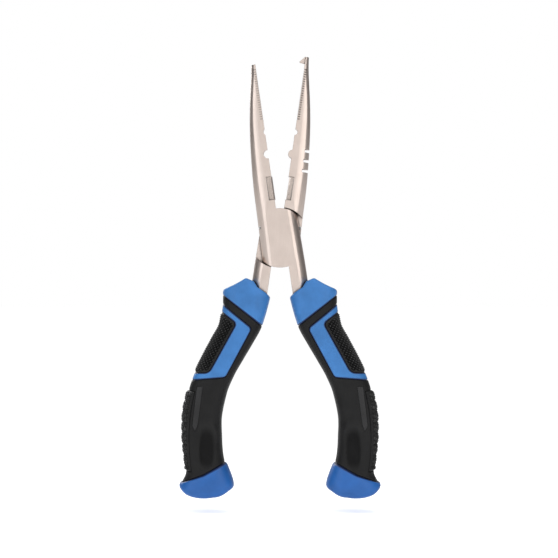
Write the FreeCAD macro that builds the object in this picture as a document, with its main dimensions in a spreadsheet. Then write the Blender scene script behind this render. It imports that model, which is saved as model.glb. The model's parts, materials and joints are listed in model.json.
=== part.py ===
import FreeCAD, Part
import math
import os

import Sketcher

# Fishing pliers: two crossed steel levers on one hidden pivot, sprung open, with two-colour moulded grips.
# Frame: +Z towards the jaw tips, +X to the right, -Y towards the smooth front cover plate.
# The origin is on the pivot axis, at the flat back of the joint.
# Each lever and its grip is drawn with the jaws shut, on the plane X = 0, and its Placement opens it.

SHEET = "Dimensions"

# alias, value in millimetres (or degrees, or a count), meaning
DIMENSIONS = [
    ("half_opening", 8.15, "angle of each lever from shut, at rest, degrees"),
    ("joint_depth", 9.6, "thickness through the joint, front plate to back plate"),
    ("lap_gap", 0.1, "running gap between the two lapped plates"),
    ("jaw_gap", 0.05, "each jaw face stands this far off the shut plane"),
    ("outside", 20.0, "reach of a cut past the levers' sides"),
    ("depth_margin", 3.0, "reach of a cut past the front and back faces"),
    ("crown_share", 0.6, "share of the half width that is crowned or steep, outside the flat"),
    ("crown_drop", 0.12, "fall of the front face at the crease, as a share of the half depth"),
    ("side_share", 0.55, "width of the steep side strip, as a share of the half depth"),
    ("shoulder_upper", 12.9, "radius of the cut that clears the other plate, jaw side"),
    ("shoulder_lower", 14.7, "radius of the cut that clears the other plate, handle side"),
    ("plate_upper", 12.4, "radius of a lap plate's upper edge"),
    ("plate_lower", 14.3, "radius of a lap plate's lower edge"),
    ("plate_corner_reach", 5.6, "where the lower edge of a plate turns up into its corner"),
    ("plate_corner_top", 7.0, "how far below the pivot the plate's corner ends"),
    ("plate_corner_width", 4.8, "width of the plate's lower corner"),
    ("plate_corner_radius", 7.5, "radius of the plate's lower corner"),
    ("plate_edge_margin", 0.4, "where the cut over a lap plate's upper edge stops short of its radius"),
    ("tang_inner", 2.0, "inner side of the tang from the shut plane"),
    ("tang_floor", 30.0, "how far below the pivot the full tang section ends"),
    ("blade_depth", 5.0, "thickness of the flat blade inside the grip"),
    ("socket_clearance", 0.05, "film between blade and grip core"),
    ("floor_clearance", 0.1, "gap under the end of the tang"),
    ("front_tip", 78.2, "height of the front lever's jaw tip"),
    ("rear_tip", 81.7, "height of the rear lever's jaw tip"),
    ("tip_land", 1.6, "width of the square end of the front jaw's tip"),
    ("tip_slope_width", 6.0, "width of the slope at the back of the front jaw's tip"),
    ("tip_slope_height", 8.0, "height of the slope at the back of the front jaw's tip"),
    ("hook_under", 78.5, "height of the underside of the split-ring tooth at its root"),
    ("hook_root", 0.6, "how deep the split-ring tooth starts inside the jaw"),
    ("hook_nose", 0.35, "rise of each facet under the point of the split-ring tooth"),
    ("hook_point", 0.2, "width of the facet under the point of the split-ring tooth"),
    ("hook_reach", 2.4, "how far the split-ring tooth reaches past the shut plane"),
    ("hook_depth", 2.4, "thickness of the split-ring tooth"),
    ("tooth_pitch", 1.07, "spacing of the jaw serrations"),
    ("tooth_start", 52.8, "height of the lowest serration"),
    ("tooth_overrun", 0.2, "how far the cut of a serration starts outside the jaw's face"),
    ("tooth_count", 22, "serrations in a jaw"),
    ("rear_tooth_depth", 0.7, "depth of the serrations in the rear jaw"),
    ("front_tooth_depth", 0.4, "depth of the serrations in the front jaw"),
    ("crimp_low", 35.2, "lower end of the crimping notch and nub"),
    ("crimp_height", 4.2, "height of the crimping notch"),
    ("crimp_depth", 2.05, "depth of the crimping notch in the front jaw"),
    ("nub_height", 3.6, "height of the crimping nub on the rear jaw"),
    ("nub_reach", 1.65, "how far the nub stands past the shut plane"),
    ("grip_notch_low", 45.9, "lower end of the small line notch"),
    ("grip_notch_height", 2.9, "height of the small line notch"),
    ("grip_notch_front", 0.7, "depth of the line notch in the front jaw"),
    ("grip_notch_rear", 1.2, "depth of the line notch in the rear jaw"),
    ("slot_inner", 5.65, "inner end of the slots in the rear jaw's back"),
    ("slot_height", 1.4, "height of each slot"),
    ("slot_low", 30.5, "height of the middle of the lowest slot"),
    ("slot_pitch", 4.5, "spacing of the slots"),
    ("slot_count", 3, "slots in the outer side of the right jaw"),
    ("cutter_low", 16.4, "lower end of the cutter inserts"),
    ("cutter_height", 10.6, "height of the cutter inserts"),
    ("cutter_seat", 2.6, "depth of an insert's seat in the jaw"),
    ("cutter_half_depth", 4.15, "half the thickness of an insert"),
    ("cutter_bevel", 0.7, "width of the bevel that leads to the cutting edge"),
    ("cutter_land", 1.2, "half the width of the cutting edge's land"),
    ("cutter_edge", 0.3, "offset of the cutting line from the shut plane"),
    ("cutter_pass", 0.1, "gap between the two cutting edges with the jaws shut"),
    ("cutter_overrun", 0.5, "how far the cut of an insert's seat starts outside the cutting line"),
    ("cutter_clearance", 0.03, "braze film round an insert"),
    ("pin_radius", 3.0, "radius of the pivot pin"),
    ("pin_clearance", 0.05, "radial running clearance of the pin in the rear lever"),
    ("pin_depth", 7.9, "how far forward of the back face the pin reaches"),
    ("pin_chamfer", 0.3, "chamfer at the ends of the pin"),
    ("washer_radius", 4.9, "radius of the washer"),
    ("washer_depth", 1.4, "thickness of the washer"),
    ("washer_clearance", 0.08, "clearance round and under the washer"),
    ("pocket_radius", 6.0, "radius of the spring pocket in each plate"),
    ("pocket_depth", 1.6, "depth of the spring pocket in each plate"),
    ("wire_radius", 0.45, "radius of the spring wire"),
    ("coil_radius", 4.8, "mean radius of the spring coil"),
    ("coil_turns", 2, "whole turns of the spring between its legs"),
    ("coil_travel", 1.1, "how far each end of the spring stands from the middle of its depth"),
    ("leg_bend", 1.2, "length of the bent end of each spring leg"),
    ("anchor_side", 8.45, "sideways place of the spring's anchor hole, shut"),
    ("anchor_height", 4.87, "height of the spring's anchor hole, shut"),
    ("anchor_radius", 0.6, "radius of the spring's anchor hole"),
    ("anchor_depth", 2.9, "depth of the anchor hole from the lapped face"),
    ("groove_foot", 3.8, "how far out the foot of the spring leg's groove reaches"),
    ("grip_flat", 8.2, "half thickness of the grips between their flat faces"),
    ("grip_corner", 6.0, "corner radius of the grips' section"),
    ("grip_skin", 3.0, "thickness of the moulded skin over the core"),
    ("core_top", 33.0, "how far below the pivot the grip core starts"),
    ("core_bottom", 115.5, "how far below the pivot the grip core ends"),
    ("socket_top", 18.0, "how far below the pivot the socket opens"),
    ("socket_inner", 1.9, "inner side of the square socket that the tang enters"),
    ("socket_outer", 9.6, "outer side of the square socket that the tang enters"),
    ("socket_half_depth", 4.9, "half depth of the square socket"),
]

# height, half width and half depth of the shut levers together, from the tip down
LEVER_STATIONS = [
    ("tip", 82.5, 1.5, 1.6),
    ("fore", 62.8, 4.7, 2.5),
    ("middle", 45.0, 7.2, 3.45),
    ("rear", 34.0, 8.15, 4.05),
    ("root", 24.0, 8.75, 4.5),
    ("neck", 11.0, 9.0, 4.95),
    ("waist", 0.0, 9.2, 5.0),
    ("heel", -10.0, 9.45, 5.0),
    ("tail", -30.0, 9.3, 4.95),
]

# height, inner side, outer side and half depth of a grip, from the collar down
GRIP_STATIONS = [
    ("top", -18.0, -0.4, 24.0, 8.7),
    ("collar", -30.0, 0.5, 21.9, 8.9),
    ("throat", -38.0, 1.5, 21.1, 8.7),
    ("bend", -46.0, 3.8, 22.4, 8.4),
    ("palm", -57.0, 8.2, 26.4, 8.4),
    ("swell", -70.0, 12.8, 30.0, 8.4),
    ("belly", -83.0, 14.4, 31.4, 8.4),
    ("calf", -95.0, 12.8, 30.3, 8.4),
    ("ankle", -105.0, 9.6, 28.1, 8.4),
    ("foot", -113.0, 5.5, 27.2, 8.6),
    ("sole", -124.0, 2.6, 28.5, 8.8),
]

# height, inner side and outer side of the flat blade inside a grip, from the tang down
BLADE_STATIONS = [
    ("top", -28.5, 2.6, 8.8),
    ("throat", -42.0, 5.9, 12.6),
    ("palm", -57.0, 11.9, 18.9),
    ("swell", -72.0, 18.3, 24.3),
    ("end", -88.0, 20.2, 25.8),
]

# How far a cut runs past the tang's floor on the joint's faces and beside the tang, and past the tip.
FACE_OVERRUN = 1
SIDE_OVERRUN = 5
TIP_OVERRUN = 5

# Where the spring leg's groove meets the rim of the anchor hole, as shares of the hole's radius.
ANCHOR_RIM = (0.8, -0.6)

# Blocks that pick out or cut away a region reach past everything that they meet.
BLOCK_HALF_DEPTH = 12
BLOCK_SIDES = (-10, 50)
BLOCK_HEIGHT = 130

doc = FreeCAD.newDocument("fishing_pliers")
sheet = doc.addObject("Spreadsheet::Sheet", SHEET)


class Size:
    """A length: its number, and the text that binds a property to the sheet."""

    def __init__(self, number, text=None):
        self.number = float(number)
        self.text = text if text else repr(self.number)

    def combine(self, other, sign, number):
        return Size(number, "(%s %s %s)" % (self.text, sign, other.text))

    def __add__(self, other):
        other = as_size(other)
        return self.combine(other, "+", self.number + other.number)

    def __sub__(self, other):
        other = as_size(other)
        return self.combine(other, "-", self.number - other.number)

    def __mul__(self, other):
        other = as_size(other)
        return self.combine(other, "*", self.number * other.number)

    def __truediv__(self, other):
        other = as_size(other)
        return self.combine(other, "/", self.number / other.number)

    def __neg__(self):
        return Size(-self.number, "(-1 * %s)" % self.text)


def as_size(value):
    return value if isinstance(value, Size) else Size(value)


def fill_sheet():
    """Writes every driving dimension to the sheet and returns them by alias."""
    rows = list(DIMENSIONS)
    for name, height, half_width, half_depth in LEVER_STATIONS:
        rows.append(("lever_%s_height" % name, height, "height of this lever section"))
        rows.append(("lever_%s_width" % name, half_width, "half width of this lever section"))
        rows.append(("lever_%s_depth" % name, half_depth, "half depth of this lever section"))
    for name, height, inner, outer, half_depth in GRIP_STATIONS:
        rows.append(("grip_%s_height" % name, height, "height of this grip section"))
        rows.append(("grip_%s_inner" % name, inner, "inner side of this grip section"))
        rows.append(("grip_%s_outer" % name, outer, "outer side of this grip section"))
        rows.append(("grip_%s_depth" % name, half_depth, "half depth of this grip section"))
    for name, height, inner, outer in BLADE_STATIONS:
        rows.append(("blade_%s_height" % name, height, "height of this blade corner"))
        rows.append(("blade_%s_inner" % name, inner, "inner side of the blade here"))
        rows.append(("blade_%s_outer" % name, outer, "outer side of the blade here"))
    cells = {}
    for row, (alias, value, meaning) in enumerate(rows, start=1):
        sheet.set("A%d" % row, alias)
        sheet.set("B%d" % row, str(value))
        sheet.set("C%d" % row, meaning)
        sheet.setAlias("B%d" % row, alias)
        cells[alias] = Size(value, "%s.%s" % (SHEET, alias))
    doc.recompute()
    return cells


DIM = fill_sheet()
MID_DEPTH = DIM["joint_depth"] / 2


def root(value):
    """Square root of a Size."""
    return Size(math.sqrt(value.number), "sqrt(%s)" % value.text)


def across(radius, other):
    """The second side of a right triangle with this hypotenuse."""
    return root(as_size(radius) * radius - as_size(other) * other)


# ---- document helpers -------------------------------------------------------------------------

def new_body(name):
    return doc.addObject("PartDesign::Body", name)


def own_datum(body, role):
    """One of the body's own origin planes or axes, by its role."""
    return [feature for feature in body.Origin.OriginFeatures if feature.Role == role][0]


def new_sketch(body, name, role, offset=None):
    """A sketch on one of the body's own origin planes, moved along the plane's normal."""
    sketch = body.newObject("Sketcher::SketchObject", name)
    sketch.AttachmentSupport = (own_datum(body, role), [""])
    sketch.MapMode = "FlatFace"
    if offset is not None:
        sketch.AttachmentOffset = FreeCAD.Placement(FreeCAD.Vector(0, 0, offset.number), FreeCAD.Rotation())
        sketch.setExpression("AttachmentOffset.Base.z", offset.text)
    return sketch


def pin_point(sketch, geometry, position, corner):
    """Fixes one end of an edge to the sheet."""
    for kind, value in zip(("DistanceX", "DistanceY"), corner):
        index = sketch.addConstraint(Sketcher.Constraint(kind, -1, 1, geometry, position, value.number))
        sketch.setExpression("Constraints[%d]" % index, value.text)


def draw_outline(sketch, corners):
    """Closed outline. A corner is (x, y), or (x, y, radius, side) where the edge to the next corner
    is an arc of that radius, bulging to the right (+1) or left (-1) of the direction of travel."""
    places = [(as_size(corner[0]), as_size(corner[1])) for corner in corners]
    for number, corner in enumerate(corners):
        start = places[number]
        end = places[(number + 1) % len(places)]
        first = FreeCAD.Vector(start[0].number, start[1].number, 0)
        last = FreeCAD.Vector(end[0].number, end[1].number, 0)
        if len(corner) == 2:
            edge = sketch.addGeometry(Part.LineSegment(first, last))
            pin_point(sketch, edge, 1, start)
            pin_point(sketch, edge, 2, end)
            continue
        radius = as_size(corner[2])
        chord = last.sub(first)
        half = chord.Length / 2
        sag = radius.number - math.sqrt(max(radius.number ** 2 - half ** 2, 0.0))
        outward = FreeCAD.Vector(chord.y, -chord.x, 0).normalize() * (sag * corner[3])
        middle = (first + last) * 0.5 + outward
        edge = sketch.addGeometry(Part.Arc(first, middle, last))
        started = (sketch.getPoint(edge, 1) - first).Length < (sketch.getPoint(edge, 1) - last).Length
        pin_point(sketch, edge, 1 if started else 2, start)
        pin_point(sketch, edge, 2 if started else 1, end)
        if abs(radius.number - half) > 1e-3:
            index = sketch.addConstraint(Sketcher.Constraint("Radius", edge, radius.number))
            sketch.setExpression("Constraints[%d]" % index, radius.text)


def draw_circle(sketch, centre, radius):
    x, y = as_size(centre[0]), as_size(centre[1])
    circle = Part.Circle(FreeCAD.Vector(x.number, y.number, 0), FreeCAD.Vector(0, 0, 1), radius.number)
    edge = sketch.addGeometry(circle)
    pin_point(sketch, edge, 3, (x, y))
    index = sketch.addConstraint(Sketcher.Constraint("Radius", edge, radius.number))
    sketch.setExpression("Constraints[%d]" % index, radius.text)


def add_length_feature(body, kind, sketch, length):
    feature = body.newObject(kind, sketch.Name + "_feature")
    feature.Profile = sketch
    feature.Length = length.number
    feature.setExpression("Length", length.text)
    body.Tip = feature
    doc.recompute()
    return feature


def pad(body, sketch, length):
    """Adds material along the sketch's normal, which is -Y for a front view sketch."""
    return add_length_feature(body, "PartDesign::Pad", sketch, length)


def pocket(body, sketch, length):
    """Cuts against the sketch's normal, which is +Y for a front view sketch, and checks that it cut."""
    before = body.Shape.Volume
    feature = add_length_feature(body, "PartDesign::Pocket", sketch, length)
    if not body.Shape.Volume < before:
        raise RuntimeError("the pocket %s cuts nothing" % feature.Name)
    return feature


def loft(body, sketches):
    feature = body.newObject("PartDesign::AdditiveLoft", body.Name + "_loft")
    feature.Profile = sketches[0]
    feature.Sections = sketches[1:]
    body.Tip = feature
    doc.recompute()
    return feature


def cut_through(body, name, corners, front=None, back=None):
    """Cuts an outline in the front view, between two depths measured forward from the back face."""
    front = front if front else DIM["joint_depth"] + DIM["depth_margin"]
    back = back if back else -DIM["depth_margin"]
    sketch = new_sketch(body, name, "XZ_Plane", front)
    draw_outline(sketch, corners)
    return pocket(body, sketch, front - back)


def drill(body, name, centre, radius, front, back):
    """A round hole along the pivot direction, between two depths."""
    sketch = new_sketch(body, name, "XZ_Plane", front)
    draw_circle(sketch, centre, radius)
    return pocket(body, sketch, front - back)


# ---- steel levers -----------------------------------------------------------------------------
# side is -1 for the front lever, whose jaw is on the left, and +1 for the rear lever.

def lever_blank(body):
    """The shut pliers' outer form: flat faces, crowned out to a crease, then steep rounded sides."""
    sketches = []
    for name, _, _, _ in LEVER_STATIONS:
        height = DIM["lever_%s_height" % name]
        width = DIM["lever_%s_width" % name]
        depth = DIM["lever_%s_depth" % name]
        flat = width - width * DIM["crown_share"]
        strip = depth * DIM["side_share"]
        crease = width - strip
        fall = depth - depth * DIM["crown_drop"]
        side_radius = (fall * fall + strip * strip) / (strip * 2)
        crown = crease - flat
        drop = depth - fall
        crown_radius = (crown * crown + drop * drop) / (drop * 2)
        sketch = new_sketch(body, "%s_%s" % (body.Name, name), "XY_Plane", height)
        draw_outline(sketch, [
            (-flat, -MID_DEPTH - depth),
            (flat, -MID_DEPTH - depth, crown_radius, 1),
            (crease, -MID_DEPTH - fall, side_radius, 1),
            (crease, -MID_DEPTH + fall, crown_radius, 1),
            (flat, -MID_DEPTH + depth),
            (-flat, -MID_DEPTH + depth, crown_radius, 1),
            (-crease, -MID_DEPTH + fall, side_radius, 1),
            (-crease, -MID_DEPTH - fall, crown_radius, 1),
        ])
        sketches.append(sketch)
    loft(body, sketches)


def lever_faces(body):
    """Trims the joint to true flat faces, front and back."""
    reach = DIM["outside"]
    low = -DIM["tang_floor"] - FACE_OVERRUN
    zone = [(-reach, low), (reach, low), (reach, reach), (-reach, reach)]
    cut_through(body, body.Name + "_back_face", zone, front=as_size(0))
    cut_through(body, body.Name + "_front_face", zone, back=DIM["joint_depth"])


def mirrored(side, corners):
    """Front lever corners as they are (side -1), or turned over to the other side (side +1)."""
    if side < 0:
        return corners
    turned = []
    for number in range(len(corners)):
        corner = corners[-number - 1]
        edge = corners[(-number - 2) % len(corners)]
        turned.append((-as_size(corner[0]), corner[1]) + tuple(edge[2:]))
    return turned


def plate_edge_above():
    """Where the cut over a lap plate's upper edge meets the other lever's side: across and up."""
    radius = DIM["plate_upper"]
    far = radius - DIM["plate_edge_margin"]
    return far, across(radius, far)


def lever_below(body, side):
    """Frees the plate's rounded lower edge and the tang's inner side."""
    radius = DIM["plate_lower"]
    reach = DIM["outside"]
    inner = DIM["tang_inner"]
    turn = DIM["plate_corner_reach"]
    top = DIM["plate_corner_top"]
    low = -DIM["tang_floor"] - SIDE_OVERRUN
    corner_side = turn + DIM["plate_corner_width"]
    corners = [
        (inner, low),
        (inner, -across(radius, inner), radius, -1),
        (-turn, -across(radius, turn), DIM["plate_corner_radius"], -1),
        (-corner_side, -top),
        (-reach, -top),
        (-reach, low),
    ]
    cut_through(body, body.Name + "_below", mirrored(side, corners))


def lever_lap(body, side):
    """Cuts away the half of the joint that the other lever's plate fills."""
    upper = DIM["shoulder_upper"]
    lower = DIM["shoulder_lower"]
    corners = [
        (upper, 0, upper, 1),
        (-upper, 0),
        (-lower, 0, lower, 1),
        (lower, 0),
    ]
    half_gap = DIM["lap_gap"] / 2
    name = body.Name + "_lap"
    if side < 0:
        cut_through(body, name, corners, front=MID_DEPTH + half_gap)
    else:
        cut_through(body, name, corners, back=MID_DEPTH - half_gap)


def lever_spring_seat(body, side):
    """The round spring pocket, the groove for the spring's leg and the anchor hole at its end."""
    half_gap = DIM["lap_gap"] / 2
    face = MID_DEPTH - half_gap * side
    pocket_floor = face - DIM["pocket_depth"] * side
    hole_floor = face - DIM["anchor_depth"] * side
    front, floor = (face, pocket_floor) if side > 0 else (pocket_floor, face)
    end, hole = (face, hole_floor) if side > 0 else (hole_floor, face)
    drill(body, body.Name + "_spring_pocket", (0, 0), DIM["pocket_radius"], front, floor)
    anchor = (DIM["anchor_side"] * side, DIM["anchor_height"])
    drill(body, body.Name + "_anchor", anchor, DIM["anchor_radius"], end, hole)
    # The leg leaves the coil at a tangent from below, so the groove covers all that it can sweep.
    half = DIM["anchor_radius"]
    corners = [
        (DIM["anchor_side"] + half * ANCHOR_RIM[0], DIM["anchor_height"] + half * ANCHOR_RIM[1]),
        (DIM["anchor_side"], DIM["anchor_height"] + half),
        (DIM["coil_radius"], DIM["anchor_height"]),
        (DIM["wire_radius"], DIM["coil_radius"]),
        (DIM["wire_radius"], -DIM["coil_radius"]),
        (DIM["groove_foot"], -DIM["coil_radius"]),
    ]
    if side < 0:
        corners = [(-corner[0], corner[1]) for corner in reversed(corners)]
    cut_through(body, body.Name + "_leg_groove", corners, front=front, back=floor)


def lever_blade(body, side, clearance):
    """The flat blade that carries on from the tang inside the grip."""
    inner = []
    outer = []
    for name, _, _, _ in BLADE_STATIONS:
        height = DIM["blade_%s_height" % name]
        inner.append(((DIM["blade_%s_inner" % name] - clearance) * -side, height))
        outer.append(((DIM["blade_%s_outer" % name] + clearance) * -side, height))
    corners = inner + outer[::-1]
    half = DIM["blade_depth"] / 2 + clearance
    sketch = new_sketch(body, body.Name + "_blade", "XZ_Plane", MID_DEPTH - half)
    draw_outline(sketch, corners)
    pad(body, sketch, half * 2)


def serrations(body, side, depth):
    """A row of small V grooves across the jaw's face."""
    low = DIM["tooth_start"]
    pitch = DIM["tooth_pitch"]
    face = DIM["jaw_gap"]
    outside = face - DIM["tooth_overrun"]
    corners = [
        (outside * side, low),
        ((face + depth) * side, low + pitch / 2),
        (outside * side, low + pitch),
    ]
    tooth = cut_through(body, body.Name + "_tooth", corners)
    pattern = body.newObject("PartDesign::LinearPattern", body.Name + "_serrations")
    before = body.Shape.Volume
    pattern.Originals = [tooth]
    pattern.Direction = (own_datum(body, "Z_Axis"), [""])
    pattern.Length = (pitch * (DIM["tooth_count"] - 1)).number
    pattern.setExpression("Length", (pitch * (DIM["tooth_count"] - 1)).text)
    pattern.Occurrences = int(DIM["tooth_count"].number)
    pattern.setExpression("Occurrences", DIM["tooth_count"].text)
    body.Tip = pattern
    doc.recompute()
    if not body.Shape.Volume < before:
        raise RuntimeError("the serrations of %s cut nothing" % body.Name)


def cutter_seat(body, side):
    """The seat of the cutter insert in the jaw's face."""
    low = DIM["cutter_low"]
    high = low + DIM["cutter_height"]
    depth = DIM["cutter_seat"]
    near = -DIM["cutter_edge"] - DIM["cutter_overrun"]
    corners = [(near * side, low), (depth * side, low), (depth * side, high), (near * side, high)]
    cut_through(body, body.Name + "_cutter_seat", corners)


def arc_radius(chord, height):
    """Radius of an arc with this chord and height."""
    half = chord / 2
    return (half * half + height * height) / (height * 2)


def make_front_lever():
    """Left jaw, front cover plate and right tang, in one forging."""
    side = -1
    body = new_body("front_lever")
    lever_blank(body)
    lever_faces(body)
    gap = DIM["jaw_gap"]
    reach = DIM["outside"]
    far, far_height = plate_edge_above()
    crimp_low = DIM["crimp_low"]
    crimp_high = crimp_low + DIM["crimp_height"]
    notch_low = DIM["grip_notch_low"]
    notch_high = notch_low + DIM["grip_notch_height"]
    tip = DIM["front_tip"]
    top = DIM["lever_tip_height"] + TIP_OVERRUN
    cut_through(body, "front_lever_jaw_face", [
        (-gap, across(DIM["plate_upper"], gap)),
        (-gap, crimp_low, arc_radius(DIM["crimp_height"], DIM["crimp_depth"]), -1),
        (-gap, crimp_high),
        (-gap, notch_low, arc_radius(DIM["grip_notch_height"], DIM["grip_notch_front"]), -1),
        (-gap, notch_high),
        (-gap, tip),
        (-DIM["tip_land"], tip),
        (-DIM["tip_land"] - DIM["tip_slope_width"], tip - DIM["tip_slope_height"]),
        (-reach, tip - DIM["tip_slope_height"]),
        (-reach, top),
        (reach, top),
        (reach, far_height),
        (far, far_height, DIM["plate_upper"], 1),
    ])
    lever_below(body, side)
    lever_lap(body, side)
    lever_spring_seat(body, side)
    cutter_seat(body, side)
    serrations(body, side, DIM["front_tooth_depth"])
    lever_blade(body, side, 0)
    # The pin is pressed into a blind hole, so that the cover plate stays smooth.
    drill(body, "front_lever_pin_hole", (0, 0), DIM["pin_radius"], DIM["pin_depth"], MID_DEPTH)
    return body


def make_rear_lever():
    """Right jaw with split-ring tooth and crimping nub, back plate and left tang, in one forging."""
    side = 1
    body = new_body("rear_lever")
    lever_blank(body)
    lever_faces(body)
    gap = DIM["jaw_gap"]
    reach = DIM["outside"]
    far, far_height = plate_edge_above()
    nub_low = DIM["crimp_low"] + (DIM["crimp_height"] - DIM["nub_height"]) / 2
    nub_high = nub_low + DIM["nub_height"]
    notch_low = DIM["grip_notch_low"]
    notch_high = notch_low + DIM["grip_notch_height"]
    top = DIM["lever_tip_height"] + TIP_OVERRUN
    cut_through(body, "rear_lever_jaw_face", [
        (-far, far_height),
        (-reach, far_height),
        (-reach, top),
        (gap, top),
        (gap, notch_high, arc_radius(DIM["grip_notch_height"], DIM["grip_notch_rear"]), -1),
        (gap, notch_low),
        (gap, nub_high, arc_radius(DIM["nub_height"], DIM["nub_reach"]), 1),
        (gap, nub_low),
        (gap, across(DIM["plate_upper"], gap), DIM["plate_upper"], -1),
    ])
    tip = DIM["rear_tip"]
    cut_through(body, "rear_lever_tip", [(-reach, tip), (reach, tip), (reach, top), (-reach, top)])
    lever_below(body, side)
    lever_lap(body, side)
    lever_spring_seat(body, side)
    cutter_seat(body, side)
    serrations(body, side, DIM["rear_tooth_depth"])
    half_slot = DIM["slot_height"] / 2
    for number in range(int(DIM["slot_count"].number)):
        middle = DIM["slot_low"] + DIM["slot_pitch"] * number
        cut_through(body, "rear_lever_slot_%d" % (number + 1), [
            (DIM["slot_inner"], middle - half_slot),
            (reach, middle - half_slot),
            (reach, middle + half_slot),
            (DIM["slot_inner"], middle + half_slot),
        ])
    hook_half = DIM["hook_depth"] / 2
    hook = new_sketch(body, "rear_lever_hook", "XZ_Plane", MID_DEPTH - hook_half)
    under = DIM["hook_under"]
    nose = DIM["hook_nose"]
    point = DIM["hook_point"]
    draw_outline(hook, [
        (DIM["hook_root"], under),
        (-DIM["hook_reach"] + point, under + nose),
        (-DIM["hook_reach"], under + nose * 2),
        (-point, tip),
        (DIM["hook_root"], tip),
    ])
    pad(body, hook, hook_half * 2)
    lever_blade(body, side, 0)
    bore = DIM["pin_radius"] + DIM["pin_clearance"]
    drill(body, "rear_lever_pin_bore", (0, 0), bore, MID_DEPTH, as_size(0))
    recess = DIM["washer_radius"] + DIM["washer_clearance"]
    recess_floor = DIM["washer_depth"] + DIM["washer_clearance"]
    drill(body, "rear_lever_washer_recess", (0, 0), recess, recess_floor, as_size(0))
    return body


def make_cutter(name, side):
    """Hardened insert with a bevelled cutting edge, seated in the jaw's face."""
    body = new_body(name)
    film = DIM["cutter_clearance"]
    low = DIM["cutter_low"] + film
    edge = -DIM["cutter_edge"] if side < 0 else DIM["cutter_edge"] + DIM["cutter_pass"]
    back = DIM["cutter_seat"] - film
    half = DIM["cutter_half_depth"]
    land = DIM["cutter_land"]
    bevel = edge + DIM["cutter_bevel"]
    profile = [
        (back, -MID_DEPTH - half),
        (bevel, -MID_DEPTH - half),
        (edge, -MID_DEPTH - land),
        (edge, -MID_DEPTH + land),
        (bevel, -MID_DEPTH + half),
        (back, -MID_DEPTH + half),
    ]
    sketch = new_sketch(body, name + "_profile", "XY_Plane", low)
    draw_outline(sketch, [(x * side, y) for x, y in profile])
    pad(body, sketch, DIM["cutter_height"] - film * 2)
    return body


# ---- pivot and spring -------------------------------------------------------------------------

def revolve(body, corners):
    """Turns a half section, drawn as (radius, depth in front of the back face), about the pivot axis."""
    sketch = new_sketch(body, body.Name + "_section", "XY_Plane")
    draw_outline(sketch, [(radius, -as_size(depth)) for radius, depth in corners])
    feature = body.newObject("PartDesign::Revolution", body.Name + "_turned")
    feature.Profile = sketch
    feature.ReferenceAxis = (own_datum(body, "Y_Axis"), [""])
    feature.Angle = 360
    body.Tip = feature
    doc.recompute()


def make_pivot_pin():
    """Plain pin: pressed into the front lever, running in the rear lever, with chamfered ends."""
    body = new_body("pivot_pin")
    radius = DIM["pin_radius"]
    length = DIM["pin_depth"]
    chamfer = DIM["pin_chamfer"]
    revolve(body, [
        (0, 0),
        (radius - chamfer, 0),
        (radius, chamfer),
        (radius, length - chamfer),
        (radius - chamfer, length),
        (0, length),
    ])
    return body


def make_pivot_washer():
    """Washer that the pin's tail is riveted over, flush with the back of the joint."""
    body = new_body("pivot_washer")
    sketch = new_sketch(body, "pivot_washer_section", "XZ_Plane")
    draw_circle(sketch, (0, 0), DIM["washer_radius"])
    draw_circle(sketch, (0, 0), DIM["pin_radius"])
    pad(body, sketch, DIM["washer_depth"])
    return body


def opened(side, place):
    """Where a point of a shut lever stands once the lever is open by its half angle."""
    angle = math.radians(DIM["half_opening"].number) * side
    x, z = place
    return x * math.cos(angle) + z * math.sin(angle), z * math.cos(angle) - x * math.sin(angle)


def make_return_spring():
    """Torsion spring: coils round the pin between the plates, with a bent leg anchored in each lever."""
    wire = DIM["wire_radius"].number
    coil = DIM["coil_radius"].number
    travel = DIM["coil_travel"].number
    depth = -MID_DEPTH.number
    left = opened(-1, (-DIM["anchor_side"].number, DIM["anchor_height"].number))
    right = opened(1, (DIM["anchor_side"].number, DIM["anchor_height"].number))
    front_end = FreeCAD.Vector(left[0], depth - travel, left[1])
    rear_end = FreeCAD.Vector(right[0], depth + travel, right[1])
    # Each leg leaves the coil at a tangent, so the turn between them follows from the two anchors.
    reach = math.hypot(*left)
    leg = math.sqrt(reach ** 2 - coil ** 2)
    lead = math.acos(coil / reach)
    start = math.atan2(left[1], left[0]) + lead
    finish = math.atan2(right[1], right[0]) - lead
    sweep = finish - start + 2 * math.pi * (DIM["coil_turns"].number + 1)
    # The whole wire steps from front to back at one slope, legs and coils alike.
    slope = 2 * travel / (2 * leg + coil * sweep)
    along = FreeCAD.Vector(0, 1, 0)
    outward = FreeCAD.Vector(math.cos(start), 0, math.sin(start))
    sideways = along.cross(outward)
    base = along * (depth - travel + leg * slope)
    helix = Part.makeLongHelix(2 * math.pi * coil * slope, coil * sweep * slope, coil, 0, True)
    helix.Placement = FreeCAD.Placement(FreeCAD.Matrix(
        outward.x, sideways.x, along.x, base.x,
        outward.y, sideways.y, along.y, base.y,
        outward.z, sideways.z, along.z, base.z,
        0, 0, 0, 1,
    ))
    coils = helix.Edges
    first = coils[0].valueAt(coils[0].FirstParameter)
    last = coils[-1].valueAt(coils[-1].LastParameter)
    path = Part.Wire([Part.makeLine(front_end, first)] + coils + [Part.makeLine(last, rear_end)])
    section = Part.Wire([Part.Circle(front_end, first - front_end, wire).toShape()])
    solid = path.makePipeShell([section], True, True)
    for place, bend in ((front_end, -1), (rear_end, 1)):
        elbow = Part.makeSphere(wire, place)
        pip = Part.makeCylinder(wire, DIM["leg_bend"].number, place, along * bend)
        solid = solid.fuse([elbow, pip])
    spring = doc.addObject("Part::Feature", "return_spring")
    spring.Shape = solid
    spring.Placement = FreeCAD.Placement()
    return spring


# ---- moulded grips, drawn for the right handle ------------------------------------------------

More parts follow.
